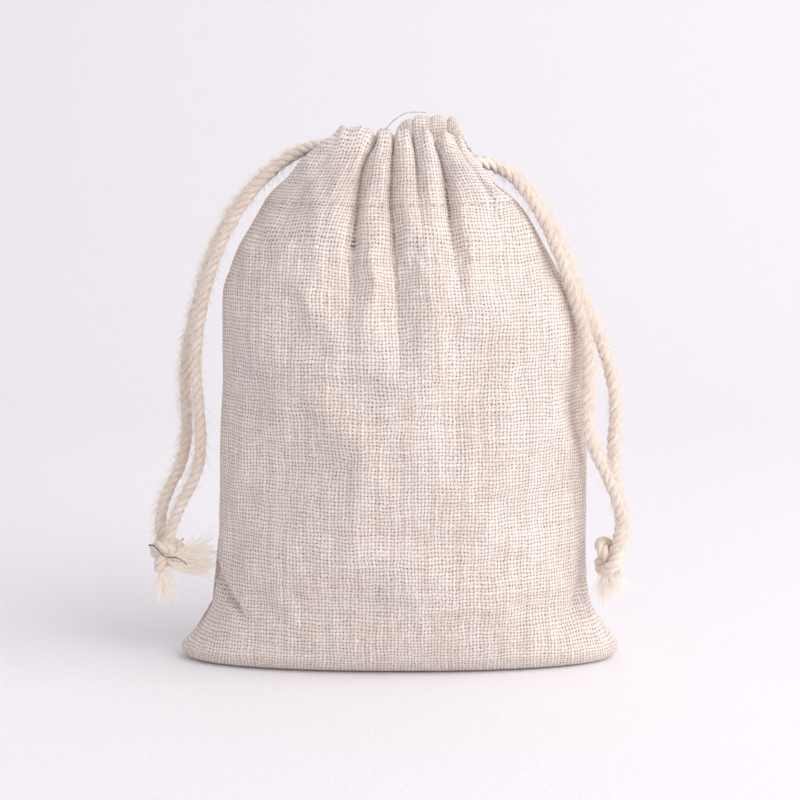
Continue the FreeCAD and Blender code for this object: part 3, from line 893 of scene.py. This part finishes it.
def bend_with_cord(obj):
    """Bake the piece's placement into its mesh."""
    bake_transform(obj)


for (side, face), route in ROUTES.items():
    line = evenly(spline_points(route), FINE_STEP)
    cord = tube(f"{side}_{face}_cord", line, YARN_RADIUS, CORD_LAY, CORD, rng.uniform(0, 6))
    fuzz = fuzz_along(f"{side}_{face}_cord_fuzz", line[FUZZ_FREE:], FUZZ_COUNT[side],
                      FUZZ_LEAN[side])
    bend_with_cord(cord)
    bend_with_cord(fuzz)
    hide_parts(f"{side}_cord_{face}_run", f"{side}_cord_{face}_strand")
    cord_pieces[side, face] = (cord, fuzz)
    cord_lines[side, face] = line

# --- knots and frays

KNOT_CENTRES = {"left": (-53.1, 0, 23.6), "right": (46.9, -8, 24.3)}
KNOT_TURNS = {"left": (0.35, -0.25, 0.5), "right": (-0.2, 0.5, 1.9)}
KNOT_REACH = {"left": (3, 3.5), "right": (3.7, 4.4)}  # across and tall
KNOT_LAY = 5.4
KNOT_POINTS = 160


def overhand_line(centre, turns, across, tall):
    """A closed trefoil, the run of a tight overhand knot."""
    t = np.linspace(0, 2 * pi, KNOT_POINTS, endpoint=False)
    line = np.stack((np.sin(t) + 2 * np.sin(2 * t), -np.sin(3 * t) * 1.15,
                     np.cos(t) - 2 * np.cos(2 * t)), axis=1)
    line *= np.array((across, across, tall)) / 3
    for axis, turn in enumerate(turns):
        first, second = [k for k in range(3) if k != axis]
        one, two = line[:, first].copy(), line[:, second].copy()
        line[:, first] = cos(turn) * one - sin(turn) * two
        line[:, second] = sin(turn) * one + cos(turn) * two
    return line + np.array(centre)


for side, centre in KNOT_CENTRES.items():
    line = overhand_line(centre, KNOT_TURNS[side], *KNOT_REACH[side])
    line = evenly(np.concatenate((line, line[:1])), FINE_STEP)
    knot = tube(f"{side}_tied_knot", line, CORD_RADIUS, KNOT_LAY, CORD)
    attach(knot, f"{side}_loop")
    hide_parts(f"{side}_knot")


THREAD_STEP = 0.4
THREAD_RADIUS = 0.10
DARK_THREAD = fibre_material("dark_thread", (0.34, 0.26, 0.22, 1), (0.24, 0.18, 0.15, 1))


def loose_thread(name, points, lay, material, body):
    """A fine end of sewing thread that lies along the points."""
    line = evenly(spline_points(points), THREAD_STEP)
    thread = tube(name, line, THREAD_RADIUS, lay, material)
    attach(thread, body)


def knot_thread():
    """A stray dark thread caught round the left knot."""
    x, y, z = KNOT_CENTRES["left"]
    ring = [(x + 4 * cos(t), y + 4.2 * sin(t),
             z + 1.5 + 1.3 * sin(t * 2 + 0.6) + 0.5 * sin(t * 5))
            for t in np.linspace(0.4, 2 * pi - 1.3, 14)]
    ring += [(x + 3.2, y - 3.6, z + 0.2), (x + 4.9, y - 3.4, z - 1.6)]
    loose_thread("dark_thread", ring, 1.4, DARK_THREAD, "left_loop")


knot_thread()

FRAY_RADIUS = 0.085
FRAY_ROOT = 0.45  # how widely the fibres' roots are scattered


def fray(name, groups):
    """Frayed cord ends: fibres that leave a knot and spread, in one or more brushes."""
    hairs = []
    for root, heading, length, spread, curl, count in groups:
        heading = np.array(heading, float)
        heading /= norm(heading)
        for _ in range(count):
            aim = heading + np.array([rng.gauss(0, spread) for _ in range(3)])
            aim /= norm(aim)
            start = np.array(root) + np.array([rng.gauss(0, FRAY_ROOT) for _ in range(3)])
            reach = length * rng.uniform(0.55, 1)
            bow = np.array([rng.gauss(0, 0.25) for _ in range(3)]) + np.array(curl)
            points = [start + aim * reach * share + bow * reach * share**2 * 0.5
                      for share in np.linspace(0, 1, 7)]
            hairs.append(np.array(points))
    return hair_mesh(name, hairs, FRAY_RADIUS, FRAY)


# Each brush: root, heading, length, spread, curl and number of fibres.
FRAYS = {
    "left": (
        ((-50.6, -1, 23.6), (1, 0, 0.10), 9, 0.26, (0, 0, 0.1), 170),
        ((-51.2, -1, 21.4), (1, 0, -0.35), 10, 0.12, (0, 0, 0.7), 190),
        ((-53.4, -0.6, 21), (-0.05, 0, -1), 9, 0.16, (0.1, 0, 0), 170)),
    "right": (
        ((46, -8, 21.6), (-0.10, 0, -1), 7.4, 0.14, (0.1, 0, 0), 150),
        ((47.2, -8.2, 22), (0.22, 0, -1), 7, 0.22, (0.2, 0, 0.1), 110)),
}
for side, groups in FRAYS.items():
    tail = fray(f"{side}_frayed_ends", groups)
    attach(tail, f"{side}_loop")
    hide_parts(f"{side}_tassel")

for (side, face), (cord, fuzz) in cord_pieces.items():
    line = cord_lines[side, face]
    length = float(length_along(line)[-1])

# --- hidden cord, stitches


RUN_START_X = 2.6  # where the hidden middle meets the run that slides
TURN_SETBACK = 3.4  # the far turn stays this far inside the casings' ends
TURN_REACH = 3.2
TURN_POINTS = 24


def channel_cord(side):
    """The middle of one cord, along both casings and round the far end."""
    outward = -1 if side == "left" else 1
    height = RUN_HEIGHTS[side]
    far = -outward * EXIT_X
    turn = np.linspace(-pi / 2, pi / 2, TURN_POINTS)
    bend = np.stack((far + outward * TURN_SETBACK - outward * TURN_REACH * np.cos(turn),
                     CASING_Y * np.sin(turn), np.full(TURN_POINTS, height)), axis=1)
    start = np.array([[outward * RUN_START_X, -CASING_Y, height]])
    end = np.array([[outward * RUN_START_X, CASING_Y, height]])
    line = evenly(np.concatenate((start, bend, end)), FINE_STEP)
    cord = tube(f"{side}_cord_middle", line, CORD_RADIUS, CORD_LAY, CORD)
    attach(cord, "pouch")
    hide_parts(f"{side}_cord_channel_run")


channel_cord("left")
channel_cord("right")


STITCH_LINE = 121.5  # distance along the cloth
STITCH_STEP = 6  # points from one stitch to the next
STITCH_GAP = 2  # points left out between two stitches
STITCH_LIFT = 0.05
STITCH_RADIUS = 0.16
STITCH_SIDES = 6
STITCH_END = 0.55  # a stitch narrows to this share where it enters the cloth


def stitch_row(name, points, v, side, node):
    """A row of lockstitches across a panel, half sunk in the cloth."""
    row = int(np.argmin(np.abs(v - STITCH_LINE)))
    line = evenly(points[row], THREAD_STEP)
    vertices = []
    faces = []
    for k in range(STITCH_GAP, len(line) - STITCH_STEP, STITCH_STEP):
        stitch = line[k:k + STITCH_STEP - STITCH_GAP].copy()
        stitch[:, 1] += side * STITCH_LIFT
        thickness = [STITCH_RADIUS] * len(stitch)
        thickness[0] = thickness[-1] = STITCH_RADIUS * STITCH_END
        first = add_tube(vertices, faces, stitch, thickness, STITCH_SIDES)
        faces += end_caps(first, len(stitch), STITCH_SIDES)
    obj = paint(new_object(name, vertices, faces), THREAD)
    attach(obj, "pouch")
    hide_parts(node)
    return obj


front_row = stitch_row("front_hem_stitches", front_points, cloth_rows, -1,
                       "front_casing_stitches")
back_row = stitch_row("back_hem_stitches", back_points, cloth_rows, 1,
                      "back_casing_stitches")


# A loose end of sewing thread that arches over the mouth.
loose_thread("loose_thread", [
    (-4, -3, 118.5), (-2.4, -3.6, 121), (-0.4, -4, 122.6),
    (2, -2.6, 123.8), (5.6, 1, 123.4)], 1.2, THREAD, "pouch")

# --- filling and seams


HEAP_ROWS = 70
HEAP_COLUMNS = 120
HEAP_END_GAP = 0.6  # kept from the top and bottom of the solid it replaces
HEAP_SIDE_GAP = 8.5  # kept from the side seams
HEAP_FACE_GAP = 3.4  # kept from the cloth in front and behind
GATHER_ROOM = 3.6  # more room where the gathers reach in
RISING_RIBS = 19  # the ribs below the top fold


def herb_filling():
    """A packed heap of crumbled herbs that fills the pouch."""
    low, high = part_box("herb_filling")
    heights = np.linspace(low[2] / MM + HEAP_END_GAP, high[2] / MM - HEAP_END_GAP, HEAP_ROWS)
    vertices = []
    for k, z in enumerate(heights):
        share = k / (HEAP_ROWS - 1)
        v = float(np.interp(z, RIBS[:RISING_RIBS, HEIGHT], RIBS[:RISING_RIBS, 0]))
        left = float(rib(v, LEFT)) + HEAP_SIDE_GAP
        right = float(rib(v, RIGHT)) - HEAP_SIDE_GAP
        deep = float(rib(v, DEPTH)) - HEAP_FACE_GAP
        deep -= GATHER_ROOM * float(ramp(z, 66, 82))
        cap = sqrt(max(1 - (2 * share - 1) ** 16, 0)) * 0.9 + 0.1
        for angle in np.linspace(0, 2 * pi, HEAP_COLUMNS, endpoint=False):
            x = (left + right) / 2 + (right - left) / 2 * cap * cos(angle)
            y = deep * cap * sin(angle)
            rough = 0.7 * noise.noise(Vector((x / 2.2, y / 2.2, z / 2.2)))
            rough += 0.5 * noise.noise(Vector((x / 6, y / 6, z / 6)))
            vertices.append((x + rough * cos(angle), y + rough * sin(angle),
                             z + 0.3 * rough))
    faces = grid_faces(HEAP_ROWS, HEAP_COLUMNS, closed=True)
    faces += end_caps(0, HEAP_ROWS, HEAP_COLUMNS)
    heap = paint(new_object("herb_heap", vertices, faces), HERBS)
    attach(heap, "pouch")
    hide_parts("herb_filling")


herb_filling()

HEM = fibre_material("seam_allowance_linen", (0.78, 0.71, 0.64, 1), (0.64, 0.56, 0.48, 1))
for node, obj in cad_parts.items():
    if node.endswith("_side_seam") or node == "bottom_seam":
        paint(obj, HEM)
    elif node.endswith("seam_stitches"):
        paint(obj, THREAD)

# --- cloth baked in place, CAD panels and casings hidden

for cloth, body, casing, face_panel, stitches_row in (
    (front_cloth, "mouth_front", "front_casing", "front_panel", front_row),
    (back_cloth, "mouth_back", "back_casing", "back_panel", back_row),
):
    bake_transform(cloth)
    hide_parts(face_panel, casing)

# --- floor, light, camera


FLOOR_FRONT = -900
FLOOR_BACK = 300
SWEEP_RADIUS = 500
SWEEP_TOP = 1800
SWEEP_HALF_WIDTH = 1800
DAYLIGHT = (0.97, 0.97, 1, 1)
DAYLIGHT_STRENGTH = 0.63


def softbox(name, place, aim, size, watts, tint):
    """A square area light at a place in metres, turned to its aim."""
    data = bpy.data.lights.new(name, "AREA")
    data.shape = "RECTANGLE"
    data.size = size
    data.size_y = size
    data.energy = watts
    data.color = tint
    lamp = bpy.data.objects.new(name, data)
    lamp.location = place
    lamp.rotation_euler = (Vector(aim) - Vector(place)).to_track_quat("-Z", "Y").to_euler()
    scene.collection.objects.link(lamp)


def studio():
    """A pale seamless sweep under soft daylight from the right and above."""
    profile = [(FLOOR_FRONT, 0), (FLOOR_BACK, 0)]
    for turn in np.linspace(0, pi / 2, 16)[1:]:
        profile.append((FLOOR_BACK + SWEEP_RADIUS * sin(turn),
                        SWEEP_RADIUS - SWEEP_RADIUS * cos(turn)))
    profile.append((FLOOR_BACK + SWEEP_RADIUS, SWEEP_TOP))
    vertices = [(x, y, z) for y, z in profile for x in (-SWEEP_HALF_WIDTH, SWEEP_HALF_WIDTH)]
    sweep = new_object("studio_sweep", vertices, grid_faces(len(profile), 2))
    look = Shader("sweep_paper")
    place = look.node("ShaderNodeTexCoord").outputs["Object"]
    grain = look.noise(place, 700, 3, 0.7)
    colour = look.mix(grain, (0.86, 0.84, 0.87, 1), (0.90, 0.88, 0.905, 1))
    paint(sweep, look.finish(colour, grain, 0.25, 0.0006, 0.95, 0))

    world = bpy.data.worlds.new("daylight")
    world.use_nodes = True
    sky = world.node_tree.nodes["Background"]
    sky.inputs["Color"].default_value = DAYLIGHT
    sky.inputs["Strength"].default_value = DAYLIGHT_STRENGTH
    scene.world = world
    softbox("window", (0.75, -0.45, 0.62), (0, 0, 0.06), 1.1, 9.6, (1, 0.97, 0.96))
    softbox("overhead", (0.1, 0.1, 0.95), (0, 0, 0.05), 0.9, 0.8, (0.98, 0.97, 1))


CAMERA_DISTANCE = 0.5
CAMERA_RISE = radians(9.5)
CAMERA_TARGET_HEIGHT = 0.0592
LENS = 100
SENSOR_WIDTH = 36


def camera():
    """Half a metre away, a little above the pouch, with a long lens."""
    target = Vector((0, 0, CAMERA_TARGET_HEIGHT))
    data = bpy.data.cameras.new("camera")
    data.lens = LENS
    data.sensor_width = SENSOR_WIDTH
    view = bpy.data.objects.new("camera", data)
    direction = Vector((0, -cos(CAMERA_RISE), sin(CAMERA_RISE)))
    view.location = target + CAMERA_DISTANCE * direction
    view.rotation_euler = (target - view.location).to_track_quat("-Z", "Y").to_euler()
    scene.collection.objects.link(view)
    scene.camera = view


studio()
camera()
scene.view_settings.view_transform = "Standard"
